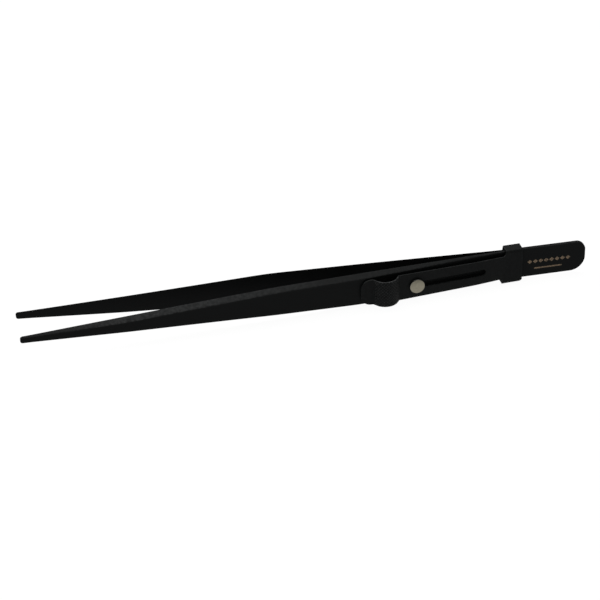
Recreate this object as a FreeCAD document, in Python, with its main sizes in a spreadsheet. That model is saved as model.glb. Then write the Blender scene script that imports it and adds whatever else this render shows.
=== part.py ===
import FreeCAD, Part
import math
import os

import Sketcher

# Precision tweezers with a sliding lock, lying on their edges.
# X runs from the points to the heel, the two arms face each other across Y = 0,
# and Z runs along the arms' width, upwards.
# Every piece is drawn with X counted from the points and Z from the middle of the width,
# and its Placement then moves the origin to the middle of the underside.
# The front arm, on the -Y side, carries the lock.

doc = FreeCAD.newDocument("tweezers")
sheet = doc.addObject("Spreadsheet::Sheet", "dims")

DRIVING_DIMENSIONS = [
    ("overall_length", 165.0, "points to heel"),
    ("hinge_from_tip", 140.5, "where the inner faces part"),
    # stations along an arm, counted from the points
    ("point_from_tip", 30.0, "end of the ground point"),
    ("knee_from_tip", 72.0, "where the taper begins"),
    ("grip_from_tip", 98.0, "widest place, under the fingers"),
    ("neck_from_tip", 118.0, "end of the grip"),
    ("leaf_from_tip", 134.0, "start of the spring leaf"),
    # half of the gap between the arms at rest
    ("tip_gap", 6.47, "half gap at the points"),
    ("knee_gap", 3.94, "half gap at the knee"),
    # thickness of one arm
    ("tip_thick", 0.7, "thickness at the points"),
    ("point_thick", 1.7, "thickness behind the ground point"),
    ("knee_thick", 1.65, "thickness at the knee"),
    ("grip_thick", 1.8, "thickness at the grip"),
    ("neck_thick", 1.1, "thickness at the neck"),
    ("leaf_thick", 0.57, "thickness of the spring leaf"),
    # width of one arm across its inner face
    ("tip_width", 2.1, "width at the points"),
    ("knee_width", 9.2, "width at the knee"),
    ("grip_width", 10.4, "width at the grip"),
    ("leaf_width", 9.4, "width of the neck, leaf and heel"),
    ("bevel_run", 0.6, "width lost per millimetre of thickness"),
    ("tip_round", 1.05, "radius of the rounded points"),
    ("heel_round", 4.2, "corner radius of the heel"),
    # the lock, bent from one sheet
    ("sheet_thick", 0.45, "sheet of the lock"),
    ("collar_from_tip", 140.6, "front edge of the collar"),
    ("collar_length", 4.9, "collar along the arms"),
    ("collar_depth", 4.0, "collar across the arms, outside"),
    ("collar_height", 11.1, "collar along the width, outside"),
    ("collar_round", 1.2, "outer radius of its folds"),
    ("plate_slope", 0.085, "outward lean of the plate per millimetre"),
    ("plate_front_width", 8.1, "plate beside the arch"),
    ("plate_back_width", 7.3, "plate beside the collar"),
    ("arch_back_from_tip", 108.0, "where the arch leaves the plate"),
    ("arch_front_from_tip", 100.4, "where the arch meets the tongue"),
    ("arch_rise", 2.7, "height of the arch over its feet"),
    ("tongue_from_tip", 96.8, "front end of the tongue"),
    ("tongue_round", 3.0, "corner radius of the tongue"),
    ("tongue_gap", 4.6, "tongue's inner face from the middle plane"),
    ("slot_width", 2.0, "guide slot"),
    ("slot_front_from_tip", 111.9, "front end of the slot"),
    ("slot_back_from_tip", 134.4, "back end of the slot"),
    # the rivet that guides the lock
    ("rivet_from_tip", 113.2, "axis of the rivet"),
    ("shank_radius", 0.9, "shank and bore"),
    ("rivet_inner_end", 1.66, "flush end from the middle plane"),
    ("head_radius", 2.2, "head"),
    ("head_under", 4.56, "underside of the head from the middle plane"),
    ("head_rim", 0.5, "straight edge of the head"),
    ("head_dome", 0.45, "rise of its domed top"),
]

for row, (alias, size, meaning) in enumerate(DRIVING_DIMENSIONS, start=1):
    sheet.set("A%d" % row, str(size))
    sheet.set("B%d" % row, meaning)
    sheet.setAlias("A%d" % row, alias)
doc.recompute()

ORIGIN_POINT = -1          # the sketcher's number for the sketch's own origin
START, END, CENTRE = 1, 2, 3
SAME = 1e-4                # two places closer than this are the same, in millimetres


def cell(alias):
    """The number that a cell of the sheet holds."""
    return float(sheet.get(alias))


def named(text):
    """An expression with every alias in braces pointed at the sheet."""
    return text.replace("{", "dims.").replace("}", "")


def plane_sketch(body, role, name, offset=None):
    """A sketch on one of the body's own origin planes, moved along the plane's normal."""
    sketch = body.newObject("Sketcher::SketchObject", name)
    planes = [plane for plane in body.Origin.OriginFeatures if plane.Role == role]
    sketch.AttachmentSupport = [(planes[0], "")]
    sketch.MapMode = "FlatFace"
    if offset:
        sketch.setExpression("AttachmentOffset.Base.z", named(offset))
    return sketch


def size_constraint(sketch, kind, references, expression):
    """A dimension of the sketch that follows the sheet, started at its own value."""
    value = float(sketch.evalExpression(named(expression)))
    number = sketch.addConstraint(Sketcher.Constraint(kind, *references, value))
    sketch.setExpression("Constraints[%d]" % number, named(expression))


def pin(sketch, edge, vertex, across, up):
    """Hold a vertex at a place: each coordinate is a sign and an expression."""
    for kind, (sign, expression) in (("DistanceX", across), ("DistanceY", up)):
        references = (ORIGIN_POINT, START, edge, vertex)
        if sign < 0:
            references = (edge, vertex, ORIGIN_POINT, START)
        size_constraint(sketch, kind, references, expression)


def polygon(sketch, corners):
    """A closed outline of straight edges. Each corner is two (sign, expression) pairs."""
    first = sketch.GeometryCount
    count = len(corners)
    rough = []
    for turn in range(count):
        angle = 2.0 * math.pi * turn / count
        rough.append(FreeCAD.Vector(math.cos(angle), math.sin(angle), 0.0))
    for number in range(count):
        sketch.addGeometry(Part.LineSegment(rough[number], rough[(number + 1) % count]), False)
    for number in range(count):
        following = first + (number + 1) % count
        sketch.addConstraint(Sketcher.Constraint("Coincident", first + number, END, following, START))
    for number, (across, up) in enumerate(corners):
        pin(sketch, first + number, START, across, up)


def rectangle(sketch, low_x, high_x, low_y, high_y):
    """A rectangle between four signed expressions."""
    polygon(sketch, [(low_x, low_y), (high_x, low_y), (high_x, high_y), (low_x, high_y)])


def feature(body, kind, name, profile):
    """A solid feature of the body on a sketch, made the body's tip."""
    made = body.newObject(kind, name)
    made.Profile = profile
    body.Tip = made
    profile.Visibility = False
    return made


def sub_part(name):
    """An empty body that carries the name of its piece."""
    body = doc.addObject("PartDesign::Body", name)
    body.Label = name
    return body


def edges_where(shape, test):
    """The names of a shape's edges whose two ends pass a test."""
    names = []
    for number, edge in enumerate(shape.Edges, start=1):
        ends = [vertex.Point for vertex in edge.Vertexes]
        if len(ends) == 2 and test(ends[0], ends[1]):
            names.append("Edge%d" % number)
    return names


# The two arms, ground from spring steel strip.
# Each is a loft through trapezoids: the inner face is the widest and both edges are bevelled.

def straight_gap(place):
    """Half gap between the knee and the hinge, where the inner faces are flat."""
    return "{knee_gap} * ({hinge_from_tip} - %s) / ({hinge_from_tip} - {knee_from_tip})" % place


STATIONS = [
    # place, half gap, thickness, width
    ("0 mm", "{tip_gap}", "{tip_thick}", "{tip_width}"),
    ("{point_from_tip}",
     "{tip_gap} + ({knee_gap} - {tip_gap}) * {point_from_tip} / {knee_from_tip}",
     "{point_thick}",
     "{tip_width} + ({knee_width} - {tip_width}) * {point_from_tip} / {knee_from_tip}"),
    ("{knee_from_tip}", "{knee_gap}", "{knee_thick}", "{knee_width}"),
    ("{grip_from_tip}", straight_gap("{grip_from_tip}"), "{grip_thick}", "{grip_width}"),
    ("{neck_from_tip}", straight_gap("{neck_from_tip}"), "{neck_thick}", "{leaf_width}"),
    ("{leaf_from_tip}", straight_gap("{leaf_from_tip}"), "{leaf_thick}", "{leaf_width}"),
    ("{hinge_from_tip}", "0", "{leaf_thick}", "{leaf_width}"),
]


def arm_section(body, number, side, station):
    """The trapezoid of an arm at one station, on the given side of the middle plane."""
    place, gap, thick, width = station
    sketch = plane_sketch(body, "YZ_Plane", "%s_section_%d" % (body.Name, number), place)
    outer = "%s + %s" % (gap, thick)
    inner_half = "(%s) / 2" % width
    outer_half = "(%s) / 2 - {bevel_run} * %s" % (width, thick)
    polygon(sketch, [
        ((side, gap), (-1, inner_half)),
        ((side, outer), (-1, outer_half)),
        ((side, outer), (1, outer_half)),
        ((side, gap), (1, inner_half)),
    ])
    return sketch


def point_outline(body):
    """What is ground off the square end: all that lies outside a half circle."""
    sketch = plane_sketch(body, "XZ_Plane", body.Name + "_point_outline")
    round_size = cell("tip_round")
    circle = Part.Circle(FreeCAD.Vector(round_size, 0, 0), FreeCAD.Vector(0, 0, 1), round_size)
    sketch.addGeometry(Part.ArcOfCircle(circle, 0.5 * math.pi, 1.5 * math.pi), False)
    corners = [(1, 1), (1, 2), (-1, 2), (-1, -2), (1, -2), (1, -1)]
    places = [FreeCAD.Vector(x * round_size, z * round_size, 0) for x, z in corners]
    for start, end in zip(places[:-1], places[1:]):
        sketch.addGeometry(Part.LineSegment(start, end), False)
    last = len(corners) - 1
    sketch.addConstraint(Sketcher.Constraint("Coincident", 0, START, 1, START))
    sketch.addConstraint(Sketcher.Constraint("Coincident", 0, END, last, END))
    for edge in range(1, last):
        sketch.addConstraint(Sketcher.Constraint("Coincident", edge, END, edge + 1, START))
    for edge, (x, z) in enumerate(corners[1:-1], start=1):
        pin(sketch, edge, END, (x, "{tip_round}"), (z / abs(z), "{tip_round} * 2"))
    size_constraint(sketch, "DistanceX", (ORIGIN_POINT, START, 0, CENTRE), "{tip_round}")
    pin(sketch, 0, START, (1, "{tip_round}"), (1, "{tip_round}"))
    pin(sketch, 0, END, (1, "{tip_round}"), (-1, "{tip_round}"))
    return sketch


def arm(name, side):
    """An arm's blade, from the points to the hinge."""
    body = sub_part(name)
    sections = [arm_section(body, number, side, station) for number, station in enumerate(STATIONS)]
    blade = feature(body, "PartDesign::AdditiveLoft", name + "_blade", sections[0])
    blade.Sections = [(section, [""]) for section in sections[1:]]
    blade.Ruled = True
    doc.recompute()
    square_volume = body.Shape.Volume
    point = feature(body, "PartDesign::Pocket", name + "_point", point_outline(body))
    point.Type = "ThroughAll"
    point.SideType = "Symmetric"
    doc.recompute()
    if body.Shape.Volume >= square_volume:
        raise RuntimeError("the rounding of %s cut nothing" % name)
    return body


rear_arm = arm("rear_arm", 1)
front_arm = arm("front_arm", -1)

# The bore for the rivet goes through the front arm only.
bore_sketch = plane_sketch(front_arm, "XZ_Plane", "rivet_bore_circle")
bore_sketch.addGeometry(Part.Circle(FreeCAD.Vector(1, 0, 0), FreeCAD.Vector(0, 0, 1), 1.0), False)
size_constraint(bore_sketch, "Radius", (0,), "{shank_radius}")
size_constraint(bore_sketch, "DistanceX", (ORIGIN_POINT, START, 0, CENTRE), "{rivet_from_tip}")
bore_sketch.addConstraint(Sketcher.Constraint("PointOnObject", 0, CENTRE, ORIGIN_POINT))
doc.recompute()
solid_arm_volume = front_arm.Shape.Volume
bore = feature(front_arm, "PartDesign::Pocket", "rivet_bore", bore_sketch)
bore.Type = "ThroughAll"
bore.SideType = "Symmetric"
doc.recompute()


# The heel of each arm: the flat leaf behind the hinge. The two are welded face to face.

def heel(name, side):
    """One flat leaf of the heel with its far corners rounded."""
    body = sub_part(name)
    sketch = plane_sketch(body, "XY_Plane", name + "_outline")
    rectangle(sketch, (1, "{hinge_from_tip}"), (1, "{overall_length}"), (side, "0"), (side, "{leaf_thick}"))
    leaf = feature(body, "PartDesign::Pad", name + "_leaf", sketch)
    leaf.SideType = "Symmetric"
    leaf.setExpression("Length", named("{leaf_width}"))
    doc.recompute()
    end = cell("overall_length")
    far_corners = edges_where(
        leaf.Shape, lambda a, b: abs(a.x - end) < SAME and abs(b.x - end) < SAME and abs(a.y - b.y) > SAME)
    rounded = body.newObject("PartDesign::Fillet", name + "_corners")
    rounded.Base = (leaf, far_corners)
    rounded.setExpression("Radius", named("{heel_round}"))
    body.Tip = rounded
    return body


rear_heel = heel("rear_heel", 1)
front_heel = heel("front_heel", -1)

# The lock is one bent sheet: tongue, thumb arch, slotted plate and the collar round both arms.
slide_lock = sub_part("slide_lock")

FRONT_WALL = "{collar_depth} / 2"
PLATE_REACH = "({collar_from_tip} - {%s}) * {plate_slope}"
BEND_OVERLAP = "{sheet_thick}"


def arch_profile(sketch):
    """The sheet's edge seen along Z: plate, arch and tongue, with a constant thickness.

    The outer arc stands on the plate's and the tongue's outer faces, and the inner arc shares
    its centre. Its ends slide along the inner faces until they meet them.
    """
    thick = cell("sheet_thick")
    slope = cell("plate_slope")
    front_wall = cell("collar_depth") / 2
    back_x = cell("collar_from_tip") + thick
    foot_x = cell("arch_back_from_tip")
    foot_y = -(front_wall + (cell("collar_from_tip") - foot_x) * slope)
    toe_x = cell("arch_front_from_tip")
    toe_y = -(cell("tongue_gap") + thick)
    chord = math.hypot(foot_x - toe_x, foot_y - toe_y)
    radius = (chord ** 2 / 4 + cell("arch_rise") ** 2) / (2 * cell("arch_rise"))
    middle = FreeCAD.Vector((foot_x + toe_x) / 2, (foot_y + toe_y) / 2, 0)
    centre = middle + FreeCAD.Vector(0, radius - cell("arch_rise"), 0)
    inner = radius - thick
    foot_in = centre.x + math.sqrt(inner ** 2 - (centre.y - foot_y - thick) ** 2)
    toe_in = centre.x - math.sqrt(inner ** 2 - (centre.y - toe_y - thick) ** 2)
    plate_end = FreeCAD.Vector(back_x, -front_wall, 0)
    foot = FreeCAD.Vector(foot_x, foot_y, 0)
    toe = FreeCAD.Vector(toe_x, toe_y, 0)
    tip = FreeCAD.Vector(cell("tongue_from_tip"), toe_y, 0)
    lift = FreeCAD.Vector(0, thick, 0)
    foot_inner = FreeCAD.Vector(foot_in, foot_y + thick, 0)
    toe_inner = FreeCAD.Vector(toe_in, toe_y + thick, 0)

    def arc(radius_of_arc, left, right):
        """An arc round the common centre, bulging away from the arms, from left to right."""
        start_angle = math.atan2(left.y - centre.y, left.x - centre.x)
        end_angle = math.atan2(right.y - centre.y, right.x - centre.x)
        circle = Part.Circle(centre, FreeCAD.Vector(0, 0, 1), radius_of_arc)
        return Part.ArcOfCircle(circle, start_angle, end_angle)

    tongue_outer = sketch.addGeometry(Part.LineSegment(tip, toe), False)
    arch_outer = sketch.addGeometry(arc(radius, toe, foot), False)
    plate_outer = sketch.addGeometry(Part.LineSegment(foot, plate_end), False)
    plate_edge = sketch.addGeometry(Part.LineSegment(plate_end, plate_end + lift), False)
    plate_inner = sketch.addGeometry(Part.LineSegment(plate_end + lift, foot_inner), False)
    arch_inner = sketch.addGeometry(arc(inner, toe_inner, foot_inner), False)
    tongue_inner = sketch.addGeometry(Part.LineSegment(toe_inner, tip + lift), False)
    tongue_edge = sketch.addGeometry(Part.LineSegment(tip + lift, tip), False)
    joints = [
        (tongue_outer, END, arch_outer, START),
        (arch_outer, END, plate_outer, START),
        (plate_outer, END, plate_edge, START),
        (plate_edge, END, plate_inner, START),
        (plate_inner, END, arch_inner, END),
        (arch_inner, START, tongue_inner, START),
        (tongue_inner, END, tongue_edge, START),
        (tongue_edge, END, tongue_outer, START),
        (arch_inner, CENTRE, arch_outer, CENTRE),
    ]
    for joint in joints:
        sketch.addConstraint(Sketcher.Constraint("Coincident", *joint))
    sketch.addConstraint(Sketcher.Constraint("Vertical", plate_edge))
    sketch.addConstraint(Sketcher.Constraint("Vertical", tongue_edge))
    sketch.addConstraint(Sketcher.Constraint("Horizontal", tongue_inner))
    sketch.addConstraint(Sketcher.Constraint("Parallel", plate_inner, plate_outer))
    pin(sketch, tongue_outer, START, (1, "{tongue_from_tip}"), (-1, "{tongue_gap} + {sheet_thick}"))
    pin(sketch, arch_outer, START, (1, "{arch_front_from_tip}"), (-1, "{tongue_gap} + {sheet_thick}"))
    pin(sketch, arch_outer, END, (1, "{arch_back_from_tip}"),
        (-1, FRONT_WALL + " + " + PLATE_REACH % "arch_back_from_tip"))
    pin(sketch, plate_outer, END, (1, "{collar_from_tip} + " + BEND_OVERLAP), (-1, FRONT_WALL))
    size_constraint(sketch, "DistanceY", (plate_edge, START, plate_edge, END), "{sheet_thick}")
    size_constraint(sketch, "DistanceY", (tongue_edge, END, tongue_edge, START), "{sheet_thick}")
    outer_radius = "(pow({arch_back_from_tip} - {arch_front_from_tip}; 2) / 4" \
                   " + pow(%s + %s - {tongue_gap} - {sheet_thick}; 2) / 4" \
                   " + pow({arch_rise}; 2)) / (2 * {arch_rise})" % (
                       FRONT_WALL, PLATE_REACH % "arch_back_from_tip")
    size_constraint(sketch, "Radius", (arch_outer,), outer_radius)
    size_constraint(sketch, "Radius", (arch_inner,), outer_radius + " - {sheet_thick}")


profile = plane_sketch(slide_lock, "XY_Plane", "lock_profile")
arch_profile(profile)
strip = feature(slide_lock, "PartDesign::Pad", "lock_strip", profile)
strip.SideType = "Symmetric"
strip.setExpression("Length", named("{collar_height} - 2 * {collar_round}"))
doc.recompute()

# The strip is trimmed to the plate's taper and to the tongue's rounded corners.
strip_volume = slide_lock.Shape.Volume
trim_sketch = plane_sketch(slide_lock, "XZ_Plane", "lock_trim_outline")
for up in (-1, 1):
    polygon(trim_sketch, [
        ((1, "{tongue_from_tip} - {collar_length}"), (up, "{plate_front_width} / 2")),
        ((1, "{arch_back_from_tip}"), (up, "{plate_front_width} / 2")),
        ((1, "{collar_from_tip}"), (up, "{plate_back_width} / 2")),
        ((1, "{collar_from_tip}"), (up, "{collar_height}")),
        ((1, "{tongue_from_tip} - {collar_length}"), (up, "{collar_height}")),
    ])
trim = feature(slide_lock, "PartDesign::Pocket", "lock_trim", trim_sketch)
trim.Type = "ThroughAll"
trim.SideType = "Symmetric"
doc.recompute()
trimmed_volume = slide_lock.Shape.Volume

tongue_x = cell("tongue_from_tip")
tongue_corners = edges_where(
    trim.Shape,
    lambda a, b: abs(a.x - tongue_x) < SAME and abs(b.x - tongue_x) < SAME and abs(a.y - b.y) > SAME)
rounded_tongue = slide_lock.newObject("PartDesign::Fillet", "tongue_corners")
rounded_tongue.Base = (trim, tongue_corners)
rounded_tongue.setExpression("Radius", named("{tongue_round}"))
slide_lock.Tip = rounded_tongue

# The collar: the sheet folded right round both arms.
collar_sketch = plane_sketch(slide_lock, "YZ_Plane", "collar_ring", "{collar_from_tip}")


def rounded_rectangle(sketch, half_across, half_up, radius):
    """A rectangle about the origin with round corners, from three expressions."""
    first = sketch.GeometryCount
    unit = 1.0
    far = 3.0
    corner_turns = [(1, 1, 0.0), (-1, 1, 0.5), (-1, -1, 1.0), (1, -1, 1.5)]
    for across, up, turn in corner_turns:
        centre = FreeCAD.Vector(across * far, up * far, 0)
        circle = Part.Circle(centre, FreeCAD.Vector(0, 0, 1), unit)
        sketch.addGeometry(Part.ArcOfCircle(circle, turn * math.pi, (turn + 0.5) * math.pi), False)
    sides = [((far, far + unit), (-far, far + unit)), ((-far - unit, far), (-far - unit, -far)),
             ((-far, -far - unit), (far, -far - unit)), ((far + unit, -far), (far + unit, far))]
    for start, end in sides:
        sketch.addGeometry(Part.LineSegment(FreeCAD.Vector(*start, 0), FreeCAD.Vector(*end, 0)), False)
    for number in range(4):
        corner = first + number
        side = first + 4 + number
        next_corner = first + (number + 1) % 4
        sketch.addConstraint(Sketcher.Constraint("Tangent", corner, END, side, START))
        sketch.addConstraint(Sketcher.Constraint("Tangent", side, END, next_corner, START))
    for number, (across, up, _) in enumerate(corner_turns):
        pin(sketch, first + number, CENTRE, (across, "%s - %s" % (half_across, radius)),
            (up, "%s - %s" % (half_up, radius)))
    size_constraint(sketch, "Radius", (first,), radius)
    for corner in range(first + 1, first + 4):
        sketch.addConstraint(Sketcher.Constraint("Equal", first, corner))


rounded_rectangle(collar_sketch, "{collar_depth} / 2", "{collar_height} / 2", "{collar_round}")
rounded_rectangle(collar_sketch, "{collar_depth} / 2 - {sheet_thick}", "{collar_height} / 2 - {sheet_thick}",
                  "({collar_round} - {sheet_thick})")
collar = feature(slide_lock, "PartDesign::Pad", "collar", collar_sketch)
collar.setExpression("Length", named("{collar_length}"))
doc.recompute()

# The guide slot in the plate, with round ends.
slot_sketch = plane_sketch(slide_lock, "XZ_Plane", "slot_outline")
slot_radius = cell("slot_width") / 2
slot_ends = [cell("slot_front_from_tip") + slot_radius, cell("slot_back_from_tip") - slot_radius]
for end_x, turn in zip(slot_ends, (0.5, -0.5)):
    circle = Part.Circle(FreeCAD.Vector(end_x, 0, 0), FreeCAD.Vector(0, 0, 1), slot_radius)
    slot_sketch.addGeometry(Part.ArcOfCircle(circle, turn * math.pi, (turn + 1.0) * math.pi), False)
for up, (start_x, end_x) in ((-1, slot_ends), (1, slot_ends[::-1])):
    slot_sketch.addGeometry(Part.LineSegment(
        FreeCAD.Vector(start_x, up * slot_radius, 0), FreeCAD.Vector(end_x, up * slot_radius, 0)), False)
for joint in ((0, END, 2, START), (2, END, 1, START), (1, END, 3, START), (3, END, 0, START)):
    slot_sketch.addConstraint(Sketcher.Constraint("Tangent", *joint))
slot_sketch.addConstraint(Sketcher.Constraint("PointOnObject", 0, CENTRE, ORIGIN_POINT))
slot_sketch.addConstraint(Sketcher.Constraint("Horizontal", 2))
size_constraint(slot_sketch, "Radius", (0,), "{slot_width} / 2")
size_constraint(slot_sketch, "DistanceX", (ORIGIN_POINT, START, 0, CENTRE),
                "{slot_front_from_tip} + {slot_width} / 2")
size_constraint(slot_sketch, "DistanceX", (ORIGIN_POINT, START, 1, CENTRE),
                "{slot_back_from_tip} - {slot_width} / 2")
doc.recompute()
unslotted_volume = slide_lock.Shape.Volume
slot = feature(slide_lock, "PartDesign::Pocket", "guide_slot", slot_sketch)
slot.Type = "ThroughAll"
slot.SideType = "Symmetric"
doc.recompute()

# The rivet: its shank fills the bore in the front arm and runs in the slot under a domed head.
guide_rivet = sub_part("guide_rivet")
rivet_sketch = plane_sketch(guide_rivet, "XY_Plane", "rivet_profile")
rivet_sketch.setExpression("AttachmentOffset.Base.x", named("{rivet_from_tip}"))
HEAD_EDGE = "{head_under} + {head_rim}"
polygon_corners = [
    ((1, "0"), (-1, "{rivet_inner_end}")),
    ((1, "0"), (-1, HEAD_EDGE + " + {head_dome}")),
    ((1, "{head_radius} / 2"), (-1, HEAD_EDGE + " + {head_dome} * 3 / 4")),
    ((1, "{head_radius}"), (-1, HEAD_EDGE)),
    ((1, "{head_radius}"), (-1, "{head_under}")),
    ((1, "{shank_radius}"), (-1, "{head_under}")),
    ((1, "{shank_radius}"), (-1, "{rivet_inner_end}")),
]
polygon(rivet_sketch, polygon_corners)
turned = feature(guide_rivet, "PartDesign::Revolution", "rivet_turned", rivet_sketch)
turned.ReferenceAxis = (rivet_sketch, ["V_Axis"])
turned.Angle = 360.0
doc.recompute()

# Every piece moves from its drawing place to the common frame.
PIECES = [front_arm, rear_arm, front_heel, rear_heel, slide_lock, guide_rivet]
for piece in PIECES:
    piece.setExpression("Placement.Base.x", named("-{overall_length} / 2"))
    piece.setExpression("Placement.Base.z", named("{collar_height} / 2"))
doc.recompute()

for item in doc.Objects:
    if "Invalid" in item.State or "Error" in item.State:
        raise RuntimeError("%s did not recompute: %s" % (item.Name, item.State))
for piece in PIECES:
    if piece.Shape.isNull() or not piece.Shape.isValid() or len(piece.Shape.Solids) != 1:
        raise RuntimeError("%s is not one sound solid" % piece.Label)
if front_arm.Shape.Volume >= solid_arm_volume:
    raise RuntimeError("the rivet's bore cut nothing")
if trimmed_volume >= strip_volume or slot.Shape.Volume >= unslotted_volume:
    raise RuntimeError("the lock's outline or slot cut nothing")

os.makedirs("parts", exist_ok=True)
for piece in PIECES:
    piece.Shape.exportStep("parts/%s.step" % piece.Label)
    box = piece.Shape.BoundBox
    print("%-12s %8.2f mm3  X %.2f %.2f  Y %.2f %.2f  Z %.2f %.2f" % (
        piece.Label, piece.Shape.Volume, box.XMin, box.XMax, box.YMin, box.YMax, box.ZMin, box.ZMax))
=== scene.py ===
import math

import bmesh
import bpy
import numpy as np
from mathutils import Matrix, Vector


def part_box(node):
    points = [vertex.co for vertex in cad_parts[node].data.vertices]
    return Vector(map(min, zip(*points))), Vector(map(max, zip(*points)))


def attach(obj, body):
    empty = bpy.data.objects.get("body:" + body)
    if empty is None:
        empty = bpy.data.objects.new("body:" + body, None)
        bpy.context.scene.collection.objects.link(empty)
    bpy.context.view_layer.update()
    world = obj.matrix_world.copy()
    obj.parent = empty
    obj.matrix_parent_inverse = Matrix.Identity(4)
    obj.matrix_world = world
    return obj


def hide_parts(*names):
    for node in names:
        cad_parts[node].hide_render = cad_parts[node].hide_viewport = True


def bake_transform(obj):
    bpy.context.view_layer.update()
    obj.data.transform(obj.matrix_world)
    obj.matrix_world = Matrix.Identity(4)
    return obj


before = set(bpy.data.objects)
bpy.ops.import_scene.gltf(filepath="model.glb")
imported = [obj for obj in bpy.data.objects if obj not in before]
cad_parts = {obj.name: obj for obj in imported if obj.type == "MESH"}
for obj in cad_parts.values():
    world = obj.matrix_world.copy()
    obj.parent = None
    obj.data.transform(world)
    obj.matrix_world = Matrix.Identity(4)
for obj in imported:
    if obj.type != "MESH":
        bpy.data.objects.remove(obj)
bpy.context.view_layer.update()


# ---------------------------------------------------------------------------------------
# The two arms. Each real arm is one strip of spring steel from its ground point to the
# round heel, bevelled along both edges so that the inner face is the widest. The two are
# welded face to face behind the hinge, and sprayed with a dead-black coat.
# ---------------------------------------------------------------------------------------
MM = 0.001
MERGED = 0.0005             # points closer than this become one
SLIVER = 0.0002             # edges shorter than this are dissolved
arm_low, arm_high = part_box("front_arm")
heel_low, heel_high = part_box("front_heel")
POINTS_X = arm_low.x
MIDDLE_Z = (arm_low.z + arm_high.z) / 2
LENGTH = (heel_high.x - POINTS_X) / MM
HINGE = (heel_low.x - POINTS_X) / MM

KNEE = 72.0                 # the taper begins, and the inner face turns towards the hinge
GRIP = 98.0                 # widest place
NECK = 118.0                # the grip has thinned down
LEAF = 134.0                # the spring leaf begins
POINT_GAP = 6.47            # half of the space between the points
KNEE_GAP = 3.94             # half of the space at the knee
LEAF_GAP = 0.52             # half of the space where the leaf begins
INWARD_BOW = 0.18           # the arms bow this much inwards between the points and the knee
LEAVES_APART = 0.012        # the coat's thickness keeps the welded leaves this far from the middle
HALF_WIDTH = ((0, 30, KNEE, GRIP, NECK, LENGTH), (1.08, 2.65, 4.6, 5.2, 4.8, 4.7))
THICKNESS = ((0, 30, KNEE, GRIP, NECK, LEAF, LENGTH), (0.66, 1.75, 1.65, 1.8, 1.1, 0.57, 0.57))
BEVEL_RUN = ((LEAF, LEAF + 9), (0.6, 0.12))   # width lost per millimetre of thickness
NOSE = 0.9                  # length over which the blunt point is rounded
ARM_ROW = 0.7               # spacing of the rows of points along the blade
HEEL_CORNERS = (4.4, 2.7)   # radius of the heel's lower and upper corners
EDGE_ROUND = 0.16           # how far the broken edges reach along each face
FLAT_HOLD = 2.2             # the points that keep the faces flat lie this many such reaches from a corner
END_ROUND = 0.12            # rounding of the heel's far edge
# How far the arms' middle line rises or drops.
ARM_CAMBER = ((0, 30, KNEE, GRIP, NECK, LEAF, HINGE), (0.0, -0.08, 0.17, -0.28, 0.1, 0.12, 0.0))
# How much lighter the coat is made, partly where it is rubbed thin and partly as a painted highlight on the
# bevels that face the light, brightest over the fore part of the arm: over a corner, from the flat face to
# the bevel, and along the arm.
CORNER_WEAR_AND_SHEEN = (0.0, 0.15, 0.5, 0.5, 0.5, 0.25, 0.25)
WEAR_AND_SHEEN_ALONG = ((0, 10, 26, 50, KNEE, 86), (0.0, 0.3, 1.0, 1.0, 0.75, 0.25))


def eased(place, stations, sizes, reach=4.0):
    """The straight-line curve through the stations, averaged over a window of twice reach.

    Its corners then turn as gently as ground metal does."""
    shifts = np.linspace(-reach, reach, 17)
    return np.interp(place[:, None] + shifts, stations, sizes).mean(axis=1)


def half_gap(place):
    """Half of the space between the arms: one slope to the knee, one to the leaf, then it closes.

    Before the knee it is less by the bow, which is half a sine wave."""
    before = -10.0
    widest = POINT_GAP + (POINT_GAP - KNEE_GAP) * -before / KNEE
    stations = (before, KNEE, LEAF, HINGE + 1, LENGTH)
    bow = INWARD_BOW * np.sin(math.pi * np.clip(place / KNEE, 0, 1))
    return np.maximum(eased(place, stations, (widest, KNEE_GAP, LEAF_GAP, 0, 0)) - bow, LEAVES_APART)


def shortfall(place, end, radius):
    """What a quarter circle of the given radius takes off a size as place nears its end."""
    inside = np.clip(place - (end - radius), 0, radius)
    return radius - np.sqrt(radius ** 2 - inside ** 2)


def arm_places():
    """Places along an arm, crowded together where the point and the heel are rounded."""
    quarter = np.linspace(0, math.pi / 2, 24)
    nose = NOSE * (1 - np.cos(quarter))
    longest = max(HEEL_CORNERS)
    blade = np.arange(NOSE + ARM_ROW / 2, LENGTH - longest, ARM_ROW)
    heel = LENGTH - longest + longest * np.sin(quarter)
    return np.concatenate([nose, blade, heel])


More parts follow.
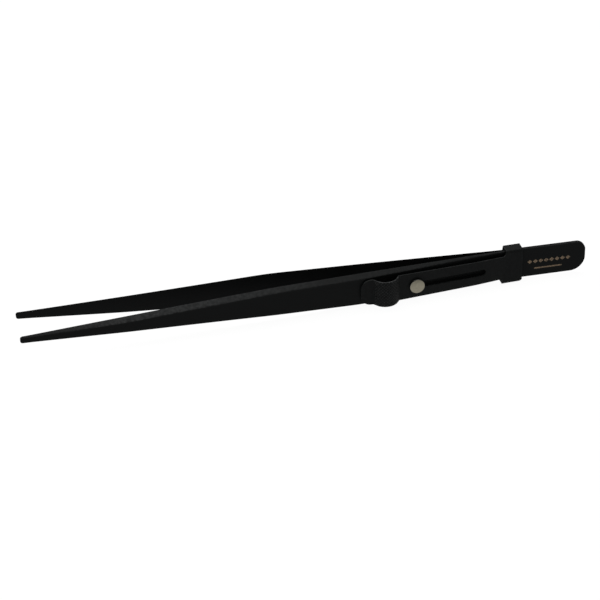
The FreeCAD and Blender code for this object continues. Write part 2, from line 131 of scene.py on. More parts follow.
def arm_rings(place):
    """The arm's section at each place: a trapezoid whose four corners are rounded.

    With P a corner and b, a the unit directions to the corners before and after it, a point of
    the rounding is P + r((1-t)^2 b + t^2 a). One more point on each side keeps the faces flat."""
    towards_nose = np.clip(1 - place / NOSE, 0, 1)
    half = eased(place, *HALF_WIDTH) * (1 - towards_nose ** 3) ** (1 / 3)
    low, high = (half - shortfall(place, LENGTH, radius) for radius in HEEL_CORNERS)
    full_thick = eased(place, *THICKNESS)
    thick = full_thick * (1 - towards_nose ** 4) ** 0.25 - 2 * shortfall(place, LENGTH, END_ROUND)
    middle = half_gap(place) + full_thick / 2
    bevel = np.minimum(np.interp(place, *BEVEL_RUN) * thick, 0.65 * half)
    inner, outer = middle - thick / 2, middle + thick / 2
    corners = np.stack([
        np.stack([inner, -low], axis=-1), np.stack([outer, bevel - low], axis=-1),
        np.stack([outer, high - bevel], axis=-1), np.stack([inner, high], axis=-1)], axis=1)
    before = np.roll(corners, 1, axis=1) - corners
    after = np.roll(corners, -1, axis=1) - corners
    tiny = 1e-9
    before = before / (np.linalg.norm(before, axis=-1, keepdims=True) + tiny)
    after = after / (np.linalg.norm(after, axis=-1, keepdims=True) + tiny)
    t = np.linspace(0, 1, 5)
    share_before = np.concatenate([[FLAT_HOLD], (1 - t) ** 2, [0]])[:, None]
    share_after = np.concatenate([[0], t ** 2, [FLAT_HOLD]])[:, None]
    reach = np.minimum(EDGE_ROUND, 0.22 * np.minimum(thick, half - bevel))[:, None, None, None]
    rings = corners[:, :, None] + reach * (
        share_before * before[:, :, None] + share_after * after[:, :, None])
    rings = rings.reshape(len(place), -1, 2)
    along = np.broadcast_to(place[:, None], rings.shape[:2])
    return np.concatenate([along[..., None], rings], axis=-1)


def grid_quads(rows, columns, closed=False):
    """Quads between neighbouring rows of a grid of points, closed across the columns or not."""
    row = np.arange(rows - 1)[:, None] * columns
    column = np.arange(columns if closed else columns - 1)[None, :]
    beside = (column + 1) % columns
    corners = [row + column, row + beside, row + columns + beside, row + columns + column]
    return np.stack(np.broadcast_arrays(*corners), axis=-1).reshape(-1, 4)


def grid_points(x, out, z):
    """Points spread over one grid. out counts from the middle plane towards the front, so y is -out."""
    x, out, z = np.broadcast_arrays(x, out, z)
    return np.stack([x, -out, z], axis=-1)


def make_piece(name, points, faces, wear_and_sheen=None, sharp=40, camber=ARM_CAMBER):
    """A mesh object from points in millimetres and faces, with doubled points merged.

    Its middle line follows the camber. The faces are turned outwards, and shaded smooth except across edges
    sharper than sharp degrees. The share given for each point, from 0 to 1, marks where the finish is made
    lighter: partly where it rubs thin, partly as a painted highlight."""
    mesh = bpy.data.meshes.new(name)
    places = np.array(points, float).reshape(-1, 3)
    places[:, 2] += eased(places[:, 0], *camber)
    places = places * MM + (POINTS_X, 0, MIDDLE_Z)
    mesh.from_pydata(places, [], faces)
    if wear_and_sheen is not None:
        attribute = mesh.attributes.new("wear_and_sheen", "FLOAT", "POINT")
        attribute.data.foreach_set("value", np.asarray(wear_and_sheen, np.float32).ravel())
    shell = bmesh.new()
    shell.from_mesh(mesh)
    bmesh.ops.remove_doubles(shell, verts=shell.verts, dist=MERGED * MM)
    bmesh.ops.dissolve_degenerate(shell, edges=shell.edges, dist=SLIVER * MM)
    bmesh.ops.recalc_face_normals(shell, faces=shell.faces)
    shell.to_mesh(mesh)
    shell.free()
    mesh.polygons.foreach_set("use_smooth", np.ones(len(mesh.polygons), bool))
    mesh.set_sharp_from_angle(angle=math.radians(sharp))
    made = bpy.data.objects.new(name, mesh)
    bpy.context.scene.collection.objects.link(made)
    return made


def colour(hex_code):
    """An sRGB hex colour as a linear one, with full alpha."""
    channels = np.array([int(hex_code[start:start + 2], 16) for start in (1, 3, 5)]) / 255
    linear = np.where(channels <= 0.04045, channels / 12.92, ((channels + 0.055) / 1.055) ** 2.4)
    return (*linear.tolist(), 1.0)


def add_node(tree, kind, inputs=None, **settings):
    """A node of a kind with its settings, and its sockets set to values or linked to outputs."""
    node = tree.nodes.new(kind)
    for name, value in settings.items():
        setattr(node, name, value)
    for socket, value in (inputs or {}).items():
        if isinstance(value, bpy.types.NodeSocket):
            tree.links.new(value, node.inputs[socket])
        else:
            node.inputs[socket].default_value = value
    return node


def sprayed_black_on_steel():
    """Spring steel under a sprayed dead-black coat.

    The eye sees a soft, almost matt black with the fine grain of dry spray, faint cloudy patches where it is
    handled, and a slightly polished, greyer line along the broken edges and bevels: partly wear, partly a
    painted highlight where they face the light."""
    material = bpy.data.materials.new("sprayed_black_on_spring_steel")
    material.use_nodes = True
    tree = material.node_tree
    shader = tree.nodes["Principled BSDF"]
    place = add_node(tree, "ShaderNodeTexCoord").outputs["Object"]
    grain = add_node(tree, "ShaderNodeTexNoise", {
        "Vector": place, "Scale": 1 / (0.35 * MM), "Detail": 3.0, "Roughness": 0.6})
    patches = add_node(tree, "ShaderNodeTexNoise", {
        "Vector": place, "Scale": 1 / (9 * MM), "Detail": 2.0, "Roughness": 0.5})
    specks = add_node(tree, "ShaderNodeTexNoise", {
        "Vector": place, "Scale": 1 / (0.8 * MM), "Detail": 2.0, "Roughness": 0.5})
    wear_and_sheen = add_node(tree, "ShaderNodeAttribute", attribute_name="wear_and_sheen").outputs["Fac"]
    broken = add_node(tree, "ShaderNodeMapRange", {
        "Value": specks.outputs["Fac"], "From Min": 0.35, "From Max": 0.7, "To Min": 0.25, "To Max": 1.0})
    rubbed_and_sheen = add_node(tree, "ShaderNodeMath", {0: wear_and_sheen, 1: broken.outputs["Result"]}, operation="MULTIPLY")
    cloudy = add_node(tree, "ShaderNodeMix", {
        "Factor": patches.outputs["Fac"], "A": colour("#0a0b0b"), "B": colour("#101111")}, data_type="RGBA")
    # Greyer where the coat is rubbed thin, and where the bevels and the arch's edges get a painted
    # highlight.
    finish = add_node(tree, "ShaderNodeMix", {
        "Factor": rubbed_and_sheen.outputs["Value"], "A": cloudy.outputs["Result"], "B": colour("#454646")},
        data_type="RGBA")
    tree.links.new(finish.outputs["Result"], shader.inputs["Base Color"])
    dull = add_node(tree, "ShaderNodeMapRange", {
        "Value": patches.outputs["Fac"], "From Min": 0.3, "From Max": 0.7, "To Min": 0.40, "To Max": 0.52})
    tree.links.new(dull.outputs["Result"], shader.inputs["Roughness"])
    shader.inputs["IOR"].default_value = 1.5
    shader.inputs["Specular IOR Level"].default_value = 0.04
    relief = add_node(tree, "ShaderNodeBump", {
        "Height": grain.outputs["Fac"], "Strength": 0.35, "Distance": 0.03 * MM})
    tree.links.new(relief.outputs["Normal"], shader.inputs["Normal"])
    return material


coated_steel = sprayed_black_on_steel()
places_along = arm_places()
ring_points = arm_rings(places_along)
ring_size = ring_points.shape[1]
arm_faces = grid_quads(len(places_along), ring_size, closed=True).tolist()
last_ring = (len(places_along) - 1) * ring_size
arm_faces.append(list(range(last_ring, last_ring + ring_size)))
# The coat is made lighter on the bevels and the rounded edges, most of all a little behind the points:
# partly where it rubs thin, partly a painted highlight.
round_section = np.tile(CORNER_WEAR_AND_SHEEN + CORNER_WEAR_AND_SHEEN[::-1], 2)
arm_wear_and_sheen = np.interp(places_along, *WEAR_AND_SHEEN_ALONG)[:, None] * round_section
for arm_name, heel_name, side in (("front_arm", "front_heel", -1), ("rear_arm", "rear_heel", 1)):
    arm = make_piece(arm_name + "_strip", ring_points * (1, side, 1), arm_faces, arm_wear_and_sheen)
    arm.data.materials.append(coated_steel)
    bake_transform(arm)
    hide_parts(arm_name, heel_name)


# ---------------------------------------------------------------------------------------
# The sliding lock. The real one is bent from one sheet of steel: a tongue with rounded
# corners, a thumb arch rolled with a diamond knurl, a slotted plate and a collar folded
# round both arms, its ends butted at the back. It wears the same black coat.
# ---------------------------------------------------------------------------------------
lock_low, lock_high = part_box("slide_lock")
SHEET = 0.45                # sheet thickness
COLLAR_DEPTH = 2 * lock_high.y / MM
COLLAR_HEIGHT = (lock_high.z - lock_low.z) / MM
COLLAR_BACK = (lock_high.x - POINTS_X) / MM
COLLAR_LENGTH = 4.9
COLLAR_FRONT = COLLAR_BACK - COLLAR_LENGTH
TONGUE_END = (lock_low.x - POINTS_X) / MM
TONGUE_OUT = 5.05           # outer face of the tongue from the middle plane
TOE = 100.4                 # the arch leaves the tongue
FOOT = 108.0                # the arch meets the plate
ARCH_RISE = 2.7             # above the line from toe to foot
BEND = 0.4                  # outside radius of the two tight bends at the arch's feet
PLATE_SLOPE = 0.085         # lean of the plate, away from the arms towards the arch
FOLD = 0.9                  # outer radius of the collar's folds
PLATE_HALF = ((FOOT, COLLAR_FRONT), (4.05, 3.65))   # half width of the tapered plate
TONGUE_ROUND = 3.0          # radius of the tongue's corners
FLARE = 1.0                 # length over which the plate widens into the collar
SLOT_FRONT, SLOT_BACK, SLOT_HALF = 111.9, 134.4, 1.0
KNURL_PITCH = 0.68          # between neighbouring grooves
KNURL_DEPTH = 0.2
KNURL_FADE = 0.5            # the grooves run out over this length at each foot of the arch
KNURL_ROW = 0.085           # spacing of the rows of points along the arch
CLOSE_ROW, PLATE_ROW = 0.4, 0.5    # the same along the plate: next to the arch, and elsewhere
RIM_COLUMN = 0.035          # share of the width from slot to edge between a rim and the next column
CREST_WEAR_AND_EDGE_SHEEN = 0.5            # the coat's wear on the knurl's crests, and a painted highlight as light along the arch's edges
RIM_ROUND = 0.07            # the sheet's cut edges are tumbled
RIM_WEAR_AND_SHEEN = 0.08             # and this much lighter than the faces beside them: partly wear, partly a painted highlight
FRONT_LEAN = 1.0            # the collar's front rim stands this much further forward at the bottom
FRONT_LEAN_RUN = 4.0        # the plate takes up that lean over this length
COLLAR_CLIP = 0.7           # the collar's far rim steps forward this much round its lower fold
COLLAR_ASKEW = (0.22, 0.0, 0.12)   # its far rim stands this much higher at the bottom, middle and top
LOCK_SAG = ((TOE, FOOT, SLOT_BACK, SLOT_BACK + 2), (-0.45, -0.4, -0.28, 0.0))   # it hangs low at its tongue
SEAM_HALF = 0.05            # half of the gap where the collar's ends meet
HANDLED = 0.04              # the thumb wears the lock's coat this much all over


def plate_out(x):
    """Distance of the plate's outer face from the middle plane."""
    return COLLAR_DEPTH / 2 + PLATE_SLOPE * (COLLAR_FRONT - x)


def tight_bend(arch_centre, arch_radius, direction, normal, anchor):
    """The bend between the arch and a straight stretch that leaves it along direction.

    Its centre lies one bend radius off the straight and one bend radius off the arch. The
    angles run from the straight's touching point to the arch's."""
    offset = anchor + BEND * normal - arch_centre
    along = -offset @ direction + math.sqrt(
        (offset @ direction) ** 2 - offset @ offset + (arch_radius + BEND) ** 2)
    centre = arch_centre + offset + along * direction
    to_arch = arch_centre - centre
    straight_angle = math.atan2(-normal[1], -normal[0])
    arch_angle = math.atan2(to_arch[1], to_arch[0])
    turn = (arch_angle - straight_angle + math.pi) % (2 * math.pi) - math.pi
    angles = straight_angle + turn * np.linspace(0, 1, 7)
    return centre, angles


def sheet_line():
    """The outer face of the sheet seen along z, from the tongue's root to the collar.

    The arch is an arc whose rise over the chord gives its radius, (chord^2 / 4 + rise^2) / (2 rise).
    A tight bend joins it to the level tongue, and another to the straight, sloping plate. Gives
    places (x, out), unit outward normals, and the share of knurling at each place."""
    toe = np.array([TOE, TONGUE_OUT])
    foot = np.array([FOOT, plate_out(FOOT)])
    chord = np.linalg.norm(foot - toe)
    radius = (chord ** 2 / 4 + ARCH_RISE ** 2) / (2 * ARCH_RISE)
    centre = (toe + foot) / 2 + (0, ARCH_RISE - radius)
    down_plate = np.array([1, -PLATE_SLOPE]) / math.hypot(1, PLATE_SLOPE)
    off_plate = np.array([PLATE_SLOPE, 1]) / math.hypot(1, PLATE_SLOPE)
    up = np.array([0.0, 1.0])
    toe_centre, toe_turn = tight_bend(centre, radius, np.array([-1.0, 0.0]), up, toe)
    foot_centre, foot_turn = tight_bend(centre, radius, down_plate, off_plate, foot)
    toe_dir = np.stack([np.cos(toe_turn), np.sin(toe_turn)], axis=1)
    foot_dir = np.stack([np.cos(foot_turn), np.sin(foot_turn)], axis=1)[::-1]
    start = math.atan2(*(toe_centre - centre)[::-1])
    end = math.atan2(*(foot_centre - centre)[::-1])
    count = int(radius * (start - end) / KNURL_ROW)
    arch_turn = np.linspace(start, end, count)[1:-1]
    arch_dir = np.stack([np.cos(arch_turn), np.sin(arch_turn)], axis=1)
    plate_start = foot_centre[0] + BEND * foot_dir[-1][0]
    slot_turn = SLOT_HALF * (1 - np.cos(np.linspace(0, math.pi / 2, 9)))
    plate_x = np.concatenate([
        np.arange(plate_start + CLOSE_ROW, SLOT_FRONT - CLOSE_ROW / 2, CLOSE_ROW),
        SLOT_FRONT + slot_turn,
        np.arange(SLOT_FRONT + SLOT_HALF + CLOSE_ROW, SLOT_BACK - SLOT_HALF - CLOSE_ROW / 2, PLATE_ROW),
        (SLOT_BACK - slot_turn)[::-1],
        np.arange(SLOT_BACK + CLOSE_ROW, COLLAR_FRONT - FLARE - CLOSE_ROW / 2, PLATE_ROW),
        COLLAR_FRONT - FLARE + FLARE * np.sin(np.linspace(0, math.pi / 2, 10))])
    plate = np.stack([plate_x, plate_out(plate_x)], axis=1)
    line = np.concatenate([toe_centre + BEND * toe_dir, centre + radius * arch_dir,
                           foot_centre + BEND * foot_dir, plate])
    normals = np.concatenate([-toe_dir, arch_dir, -foot_dir, np.tile(off_plate, (len(plate), 1))])
    arc = radius * (start - arch_turn)
    fade = np.clip(np.minimum(arc, arc[-1] - arc) / KNURL_FADE, 0, 1)
    knurled = np.concatenate([np.zeros(len(toe_dir)), fade, np.zeros(len(foot_dir) + len(plate))])
    return line, normals, knurled


def strip_half(x):
    """Half width of the strip: straight beside the arch, tapered along the plate, flared at the collar.

    The flare is a quarter of an ellipse, 1 - sqrt(1 - u^2) of the way out to the collar's folds."""
    half = np.interp(x, *PLATE_HALF)
    into = np.clip((x - (COLLAR_FRONT - FLARE)) / FLARE, 0, 1)
    rise = COLLAR_HEIGHT / 2 - FOLD - PLATE_HALF[1][1]
    return half + rise * (1 - np.sqrt(1 - into ** 2))


def slot_half(x):
    """Half width of the guide slot: nothing outside it, straight sides, half-round ends."""
    inside = np.minimum(x - SLOT_FRONT, SLOT_BACK - x)
    reach = np.clip(SLOT_HALF - inside, 0, SLOT_HALF)
    return np.where(inside > 0, np.sqrt(SLOT_HALF ** 2 - reach ** 2), 0)


def knurl_height(around, z):
    """Two families of V grooves crossing at right angles: how high a point stands, from 0 to 1.

    Across each family the height falls in proportion from 1 midway between two grooves to 0 in
    a groove, and a point takes the lower of its two heights."""
    root_half = math.sqrt(0.5)
    first = np.abs(((around + z) * root_half / KNURL_PITCH) % 1 - 0.5) * 2
    second = np.abs(((around - z) * root_half / KNURL_PITCH) % 1 - 0.5) * 2
    return 1 - np.maximum(first, second)


def rim_directions(outer, through, free):
    """The points on the sheet's free edges, and at each one the unit way outwards in its surface.

    An edge's own way out is its run crossed with the way through the sheet. A point's is the
    mean of those of its two edges."""
    run = outer[free[:, 1]] - outer[free[:, 0]]
    across = np.cross(run, through[free[:, 0]])
    across /= np.linalg.norm(across, axis=1, keepdims=True)
    outward = np.zeros_like(outer)
    np.add.at(outward, free[:, 0], across)
    np.add.at(outward, free[:, 1], across)
    rim_points = np.unique(free)
    rim_out = outward[rim_points]
    return rim_points, rim_out / np.linalg.norm(rim_out, axis=1, keepdims=True)


def sheet_shell(patches):
    """One closed shell from patches of a sheet: grids of outer points, inner points, and how much lighter
    the coat is, from wear and painted highlight.

    Points that patches share are merged by their outer place. Along every free edge the two
    faces stop short by the rim's radius, and four strips carry a rounded rim between them."""
    outer = np.concatenate([patch[0].reshape(-1, 3) for patch in patches])
    inner = np.concatenate([patch[1].reshape(-1, 3) for patch in patches])
    quads, first = [], 0
    for outside, _, _ in patches:
        rows, columns = outside.shape[:2]
        quads.append(first + grid_quads(rows, columns))
        first += rows * columns
    _, kept, merged = np.unique(np.round(outer, 3), axis=0, return_index=True, return_inverse=True)
    quads = merged.reshape(-1)[np.concatenate(quads)]
    outer, inner = outer[kept], inner[kept]
    proud = np.concatenate([patch[2].ravel() for patch in patches])[kept]
    ends = np.stack([quads, np.roll(quads, -1, axis=1)], axis=-1).reshape(-1, 2)
    ends = ends[ends[:, 0] != ends[:, 1]]
    _, at, uses = np.unique(np.sort(ends, axis=1), axis=0, return_index=True, return_counts=True)
    free = ends[at[uses == 1]]
    through = inner - outer
    through /= np.linalg.norm(through, axis=1, keepdims=True)
    rim_points, rim_out = rim_directions(outer, through, free)
    rim_through = through[rim_points]
    top, bottom = outer[rim_points].copy(), inner[rim_points].copy()
    outer[rim_points] = top - RIM_ROUND * rim_out
    inner[rim_points] = bottom - RIM_ROUND * rim_out
    eighth = 1 - math.sqrt(0.5)
    layers = [
        top - RIM_ROUND * eighth * (rim_out - rim_through),
        top + RIM_ROUND * rim_through,
        bottom - RIM_ROUND * rim_through,
        bottom - RIM_ROUND * eighth * (rim_out + rim_through)]
    number = np.zeros(len(outer), int)
    number[rim_points] = np.arange(len(rim_points))
    count = len(outer)
    levels = [free]
    for layer in range(len(layers)):
        levels.append(2 * count + layer * len(rim_points) + number[free])
    levels.append(free + count)
    strips = [np.stack([a[:, 0], a[:, 1], b[:, 1], b[:, 0]], axis=-1) for a, b in zip(levels, levels[1:])]
    points = np.concatenate([outer, inner, *layers])
    # The rims are made lighter than the faces beside them, partly wear and partly a painted highlight.
    rub_and_sheen = np.concatenate([proud, np.zeros(count), np.tile(RIM_WEAR_AND_SHEEN + proud[rim_points], len(layers))])
    return points, np.concatenate([quads, quads[:, ::-1] + count, *strips]), rub_and_sheen


def collar_line(front_z):
    """The collar's outline seen along x, from its seam at the back round to the seam again.

    Straight walls join quarter circles, and the front wall has the plate's own points."""
    depth, height = COLLAR_DEPTH / 2, COLLAR_HEIGHT / 2
    turn = np.linspace(0, math.pi / 2, 9)
    fold = np.stack([np.cos(turn), np.sin(turn)], axis=1)
    core = np.array([depth - FOLD, height - FOLD])
    rear = np.linspace(SEAM_HALF, core[1], 9)[:-1]
    quarter = [
        (np.stack([np.full(len(rear), -depth), rear], axis=1), np.tile([-1.0, 0.0], (len(rear), 1))),
        (core * (-1, 1) + FOLD * fold * (-1, 1), fold * (-1, 1)),
        (core + FOLD * fold[::-1], fold[::-1])]
    upper = np.concatenate([part[0] for part in quarter])
    upper_normals = np.concatenate([part[1] for part in quarter])
    front = np.stack([np.full(len(front_z) - 2, depth), front_z[1:-1]], axis=1)
    line = np.concatenate([upper, front, upper[::-1] * (1, -1)])
    front_normals = np.tile([1.0, 0.0], (len(front), 1))
    normals = np.concatenate([upper_normals, front_normals, upper_normals[::-1] * (1, -1)])
    return line, normals


def lean(z):
    """How far forward the collar's front rim stands at a height.

    It grows in proportion from nothing at the upper fold to FRONT_LEAN at the lower one."""
    core = COLLAR_HEIGHT / 2 - FOLD
    return FRONT_LEAN * np.clip(0.5 - z / (2 * core), 0, 1)


def tongue_patch(root, half, up):
    """The upper or lower half of the tongue's flat, from its rounded end to the toe of the arch.

    Its end runs straight from the middle and then turns through a quarter circle."""
    corner = half - TONGUE_ROUND
    sweep = np.linspace(0, 1, len(root)) * (corner + TONGUE_ROUND * math.pi / 2)
    angle = np.clip((sweep - corner) / TONGUE_ROUND, 0, math.pi / 2)
    end = np.stack([
        TONGUE_END + TONGUE_ROUND * (1 - np.cos(angle)), np.full(len(root), root[0, 1]),
        up * (np.minimum(sweep, corner) + TONGUE_ROUND * np.sin(angle))], axis=1)
    steps = np.linspace(0, 1, 9)[:, None, None]
    tongue = (end * (1 - steps) + root * steps)[:, ::up]
    return tongue, tongue + (0, SHEET, 0), np.zeros(tongue.shape[:2])


def collar_patch(front_z):
    """The collar: its outline carried straight along x from the front rim to the far rim.

    The front rim leans, the far rim steps forward in proportion round its lower fold, and the
    walls rise towards the far rim."""
    outline, out = (points[::-1] for points in collar_line(front_z))    # upwards, as in the other patches
    start = COLLAR_FRONT - lean(outline[:, 1])
    end = COLLAR_BACK - COLLAR_CLIP * np.clip((FOLD - COLLAR_HEIGHT / 2 - outline[:, 1]) / FOLD, 0, 1)
    way = np.linspace(0, 1, 12)[:, None]
    rise = np.interp(outline[:, 1], (-COLLAR_HEIGHT / 2, 0, COLLAR_HEIGHT / 2), COLLAR_ASKEW)
    wall = grid_points(start + (end - start) * way, outline[:, 0], outline[:, 1] + rise * way)
    wall_out = grid_points(0.0, out[:, 0], out[:, 1])
    return wall, wall - SHEET * wall_out, np.zeros(wall.shape[:2])


def lock_patches():
    """The lock's sheet as grids: plate with arch, and tongue, in two halves, then the collar.

    Each column of a half keeps its own share of the width from the slot's edge to the strip's."""
    line, normals, knurled = sheet_line()
    arc = np.concatenate([[0], np.cumsum(np.linalg.norm(np.diff(line, axis=0), axis=1))])
    edge, slot_edge = strip_half(line[:, 0]), slot_half(line[:, 0])
    share = np.concatenate([[0], np.linspace(RIM_COLUMN, 1 - RIM_COLUMN, 44), [1]])
    ramp = np.clip((line[:, :1] - COLLAR_FRONT) / FRONT_LEAN_RUN + 1, 0, 1)
    # The arch's two edges get a painted highlight, as light as the worn crests.
    arch_edge_highlight = np.where(share == 1, CREST_WEAR_AND_EDGE_SHEEN, 0)
    patches = []
    for up in (1, -1):
        z = up * (slot_edge[:, None] + (edge - slot_edge)[:, None] * share)
        face = grid_points(line[:, :1] - ramp * lean(z), line[:, 1:], z)
        out = grid_points(normals[:, :1], normals[:, 1:], 0.0)
        height = knurl_height(arc[:, None], z)
        grooved = face - (KNURL_DEPTH * knurled[:, None] * (1 - height))[..., None] * out
        crest_wear_and_edge_sheen = knurled[:, None] * np.maximum(CREST_WEAR_AND_EDGE_SHEEN * height ** 2, arch_edge_highlight)
        patches.append((grooved[:, ::up], (face - SHEET * out)[:, ::up], crest_wear_and_edge_sheen[:, ::up]))
        patches.append(tongue_patch(face[0], edge[0], up))
    patches.append(collar_patch(np.concatenate([share[::-1], -share[1:]]) * edge[-1]))
    return patches


lock_points, lock_faces, lock_rub_and_sheen = sheet_shell(lock_patches())
lock = make_piece("slide_lock_sheet", lock_points, lock_faces.tolist(), HANDLED + lock_rub_and_sheen,
                  sharp=50, camber=LOCK_SAG)
lock.data.materials.append(coated_steel)
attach(lock, "lock")
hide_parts("slide_lock")


# ---------------------------------------------------------------------------------------
# The guide rivet. A steel rivet turned with a shallow domed head, bare on its face and
# black round its side. Its shank runs in the lock's slot, and its tail is peened flush
# into the front arm.
# ---------------------------------------------------------------------------------------
rivet_low, rivet_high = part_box("guide_rivet")
RIVET_X = ((rivet_low.x + rivet_high.x) / 2 - POINTS_X) / MM
HEAD_RADIUS = (rivet_high.x - rivet_low.x) / 2 / MM
HEAD_TOP = -rivet_low.y / MM
TAIL = -rivet_high.y / MM
SHANK = 0.75                # radius of the shank
HEAD_DEPTH = 0.95
HEAD_UNDER = HEAD_TOP - HEAD_DEPTH
HEAD_DOME = 0.42            # rise of the dome
HEAD_EDGE = 0.14            # rounding of the head's rim
DIMPLE, DIMPLE_REACH = 0.09, 0.55   # depth and reach of the pip left at the middle of the head
CHAMFER = 0.06              # under the head, and about the tail
BARE_ABOVE = 0.04           # the face is bare from this height over the dome's foot
SET_OFF = (0.15, -0.05)     # the rivet is set this far off its nominal place, along and across the arm


def rivet_profile():
    """Radius and distance out, from the middle of the head's top to the middle of the tail.

    The top is a parabola of the dome's rise, less a bell-shaped dip exp(-(r / reach)^2) at the
    middle, and it turns through a quarter circle into the rim."""
    flat = np.linspace(0, HEAD_RADIUS - HEAD_EDGE, 22)
    dome = HEAD_DOME * (1 - (flat / HEAD_RADIUS) ** 2) - DIMPLE * np.exp(-(flat / DIMPLE_REACH) ** 2)
    rim_top = HEAD_TOP - HEAD_DOME + dome[-1]
    turn = np.linspace(0, math.pi / 2, 7)[1:]
    rim = np.stack([
        HEAD_RADIUS - HEAD_EDGE * (1 - np.sin(turn)), rim_top - HEAD_EDGE * (1 - np.cos(turn))], axis=1)
    under = np.array([
        [HEAD_RADIUS, HEAD_UNDER + CHAMFER], [HEAD_RADIUS - CHAMFER, HEAD_UNDER],
        [SHANK, HEAD_UNDER], [SHANK, TAIL + 2 * CHAMFER],
        [SHANK - CHAMFER / 2, TAIL + CHAMFER / 2], [SHANK - 2 * CHAMFER, TAIL], [0, TAIL]])
    top = np.stack([flat, HEAD_TOP - HEAD_DOME + dome], axis=1)
    return np.concatenate([top, rim, under])


def turned(profile, steps=72):
    """The profile turned round the rivet's axis, which lies along y at its set-off place."""
    angle = np.linspace(0, 2 * math.pi, steps, endpoint=False)
    radius, out = profile[:, :1], profile[:, 1:]
    return grid_points(
        RIVET_X + SET_OFF[0] + radius * np.cos(angle), out, SET_OFF[1] + radius * np.sin(angle))


def bare_rivet_steel():
    """Plain turned steel, tumbled and lightly tarnished: warm grey, satin, with faint turning rings.

    The side of the head, below its face, is black."""
    material = bpy.data.materials.new("bare_turned_rivet_steel")
    material.use_nodes = True
    tree = material.node_tree
    shader = tree.nodes["Principled BSDF"]
    place = add_node(tree, "ShaderNodeTexCoord").outputs["Object"]
    centred = add_node(tree, "ShaderNodeMapping", {
        "Vector": place, "Location": (-(rivet_low.x + rivet_high.x) / 2, 0, -MIDDLE_Z)})
    rings = add_node(tree, "ShaderNodeTexWave", {
        "Vector": centred.outputs["Vector"], "Scale": 1 / (0.5 * MM) / 10, "Distortion": 0.6, "Detail": 1.0},
        wave_type="RINGS", rings_direction="Y", wave_profile="SIN")
    tarnish = add_node(tree, "ShaderNodeTexNoise", {
        "Vector": place, "Scale": 1 / (0.9 * MM), "Detail": 3.0, "Roughness": 0.6})
    tone = add_node(tree, "ShaderNodeMix", {
        "Factor": tarnish.outputs["Fac"], "A": colour("#6e6a5d"), "B": colour("#918c7d")}, data_type="RGBA")
    bare = add_node(tree, "ShaderNodeAttribute", attribute_name="wear_and_sheen").outputs["Fac"]
    finish = add_node(tree, "ShaderNodeMix", {
        "Factor": bare, "A": colour("#090909"), "B": tone.outputs["Result"]}, data_type="RGBA")
    tree.links.new(finish.outputs["Result"], shader.inputs["Base Color"])
    tree.links.new(bare, shader.inputs["Metallic"])
    satin = add_node(tree, "ShaderNodeMapRange", {
        "Value": tarnish.outputs["Fac"], "From Min": 0.3, "From Max": 0.7, "To Min": 0.38, "To Max": 0.5})
    tree.links.new(satin.outputs["Result"], shader.inputs["Roughness"])
    relief = add_node(tree, "ShaderNodeBump", {
        "Height": rings.outputs["Fac"], "Strength": 0.25, "Distance": 0.01 * MM})
    tree.links.new(relief.outputs["Normal"], shader.inputs["Normal"])
    return material


profile = rivet_profile()
rivet_grid = turned(profile)
face_bare = np.where(profile[:, 1] > HEAD_TOP - HEAD_DOME + BARE_ABOVE, 1.0, 0.0)
rivet = make_piece("guide_rivet_turned", rivet_grid, grid_quads(*rivet_grid.shape[:2], closed=True).tolist(),
                   np.repeat(face_bare, rivet_grid.shape[1]), camber=LOCK_SAG)
rivet.data.materials.append(bare_rivet_steel())
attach(rivet, "front_arm")
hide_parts("guide_rivet")


# ---------------------------------------------------------------------------------------
# The print on the heel. Real ones are pad-printed in a tan ink, a few microns thick. Here
# it is a plain ornament: a row of small lozenges over a thin rule, with no lettering.
# ---------------------------------------------------------------------------------------
INK = 0.012                 # how far the ink stands off the coat
LOZENGES = 8
ROW_START, ROW_END, ROW_Z = 147.4, 160.6, 0.1
LOZENGE_SHARE, LOZENGE_HALF, LOZENGE_POWER = 0.42, 0.62, 1.1   # half length in pitches, half height, outline
RULE_START, RULE_END, RULE_Z = 149.6, 158.0, -2.2
RULE_HALF, RULE_POWER = 0.22, 12


def printed_patch(centre, half_length, half_height, power):
    """A thin patch of ink with the outline |u|^p + |v|^p = 1, u and v across its two half sizes."""
    angle = np.linspace(0, 2 * math.pi, 32, endpoint=False)
    reach = (np.abs(np.cos(angle)) ** power + np.abs(np.sin(angle)) ** power) ** (-1 / power)
    x = centre[0] + half_length * reach * np.cos(angle)
    z = centre[1] + half_height * reach * np.sin(angle)
    base = half_gap(np.array([centre[0]]))[0] + np.interp(centre[0], *THICKNESS)
    return grid_points(x, base + np.array([[-INK], [INK]]), z)


def pad_printed_ink():
    """Matt tan printing ink, slightly uneven and thin in places, so the black shows faintly through."""
    material = bpy.data.materials.new("pad_printed_tan_ink")
    material.use_nodes = True
    tree = material.node_tree
    shader = tree.nodes["Principled BSDF"]
    place = add_node(tree, "ShaderNodeTexCoord").outputs["Object"]
    cover = add_node(tree, "ShaderNodeTexNoise", {
        "Vector": place, "Scale": 1 / (0.5 * MM), "Detail": 3.0, "Roughness": 0.6})
    spread = add_node(tree, "ShaderNodeMapRange", {
        "Value": cover.outputs["Fac"], "From Min": 0.3, "From Max": 0.65})
    tone = add_node(tree, "ShaderNodeMix", {
        "Factor": spread.outputs["Result"], "A": colour("#3f362c"), "B": colour("#7a6854")},
        data_type="RGBA")
    tree.links.new(tone.outputs["Result"], shader.inputs["Base Color"])
    shader.inputs["Roughness"].default_value = 0.6
    shader.inputs["Specular IOR Level"].default_value = 0.15
    return material


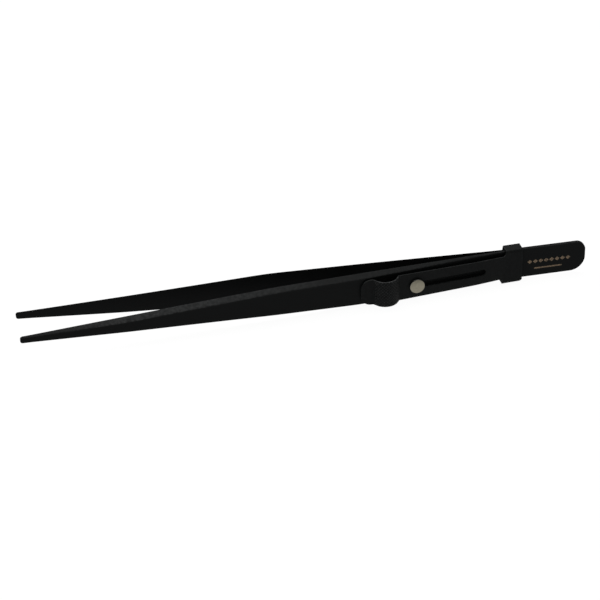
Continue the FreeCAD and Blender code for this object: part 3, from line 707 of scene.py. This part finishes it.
pitch = (ROW_END - ROW_START) / LOZENGES
row_centres = ROW_START + pitch * (np.arange(LOZENGES) + 0.5)
marks = [printed_patch((x, ROW_Z), pitch * LOZENGE_SHARE, LOZENGE_HALF, LOZENGE_POWER) for x in row_centres]
rule_centre = ((RULE_START + RULE_END) / 2, RULE_Z)
marks.append(printed_patch(rule_centre, (RULE_END - RULE_START) / 2, RULE_HALF, RULE_POWER))
ink_points, ink_faces = [], []
for mark in marks:
    first, count = sum(len(points) for points in ink_points), mark.shape[1]
    ink_points.append(mark.reshape(-1, 3))
    ink_faces += (first + grid_quads(2, count, closed=True)).tolist()
    ink_faces += [list(range(first, first + count)), list(range(first + count, first + 2 * count))]
ink = make_piece("heel_print", np.concatenate(ink_points), ink_faces)
ink.data.materials.append(pad_printed_ink())
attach(ink, "heel")


# ---------------------------------------------------------------------------------------
# The floor, the light and the camera. A seamless pale sheet under two round softboxes, in
# a small white tent. The floor and the lights are placed in metres.
# ---------------------------------------------------------------------------------------
def backlit_pale_sheet():
    """Matt pale acrylic lit evenly from below, so that it is nearly white and takes almost no shadow."""
    material = bpy.data.materials.new("backlit_matt_pale_acrylic")
    material.use_nodes = True
    shader = material.node_tree.nodes["Principled BSDF"]
    shader.inputs["Base Color"].default_value = colour("#3c3c3c")
    shader.inputs["Roughness"].default_value = 0.9
    shader.inputs["Specular IOR Level"].default_value = 0.0
    shader.inputs["Emission Color"].default_value = (1.0, 1.0, 1.0, 1.0)
    shader.inputs["Emission Strength"].default_value = 0.96
    return material


FLOOR_HALF = 4.0
floor_corners = [(x * FLOOR_HALF, y * FLOOR_HALF, 0) for x, y in ((-1, -1), (1, -1), (1, 1), (-1, 1))]
floor_mesh = bpy.data.meshes.new("floor")
floor_mesh.from_pydata(floor_corners, [], [(0, 1, 2, 3)])
floor_mesh.materials.append(backlit_pale_sheet())
floor = bpy.data.objects.new("floor", floor_mesh)
bpy.context.scene.collection.objects.link(floor)

tent = bpy.data.worlds.new("white_tent")
tent.use_nodes = True
walls = tent.node_tree.nodes["Background"]
walls.inputs["Color"].default_value = (1.0, 1.0, 1.0, 1.0)
walls.inputs["Strength"].default_value = 0.35
bpy.context.scene.world = tent

for name, place, size, power in (
        ("overhead_softbox", (0.05, 0.15, 0.75), 0.7, 6.0),
        ("points_softbox", (-0.5, 0.35, 0.5), 0.4, 5.0)):
    light = bpy.data.lights.new(name, "AREA")
    light.shape = "DISK"
    light.size = size
    light.energy = power
    lamp = bpy.data.objects.new(name, light)
    bpy.context.scene.collection.objects.link(lamp)
    lamp.location = place
    lamp.rotation_euler = (-lamp.location).to_track_quat("-Z", "Y").to_euler()

bpy.context.scene.view_settings.view_transform = "Standard"

# The camera stands in front and above, a little to the left, with a long lens.
AZIMUTH, ELEVATION, ROLL = 0.1974, 0.5502, -0.0263    # radians
DISTANCE = 567.497 * MM
FOCAL_LENGTH, SENSOR = 119.617, 36
ASIDE, ABOVE = 2.265 * MM, 2.832 * MM     # the object's middle is this far right of and above the aim
right_level = np.array([math.cos(AZIMUTH), -math.sin(AZIMUTH), 0])
forward = np.array([
    math.sin(AZIMUTH) * math.cos(ELEVATION), math.cos(AZIMUTH) * math.cos(ELEVATION), -math.sin(ELEVATION)])
up_level = np.cross(right_level, forward)
right = math.cos(ROLL) * right_level + math.sin(ROLL) * up_level
up = np.cross(right, forward)
middle = np.array([POINTS_X + LENGTH * MM / 2, 0, MIDDLE_Z])
eye = middle - ASIDE * right - ABOVE * up - DISTANCE * forward
lens = bpy.data.cameras.new("camera")
lens.lens = FOCAL_LENGTH
lens.sensor_width = SENSOR
lens.clip_start = 0.01
camera = bpy.data.objects.new("camera", lens)
bpy.context.scene.collection.objects.link(camera)
camera_frame = np.eye(4)
camera_frame[:3] = np.stack([right, up, -forward, eye], axis=1)
camera.matrix_world = Matrix(camera_frame)
bpy.context.scene.camera = camera
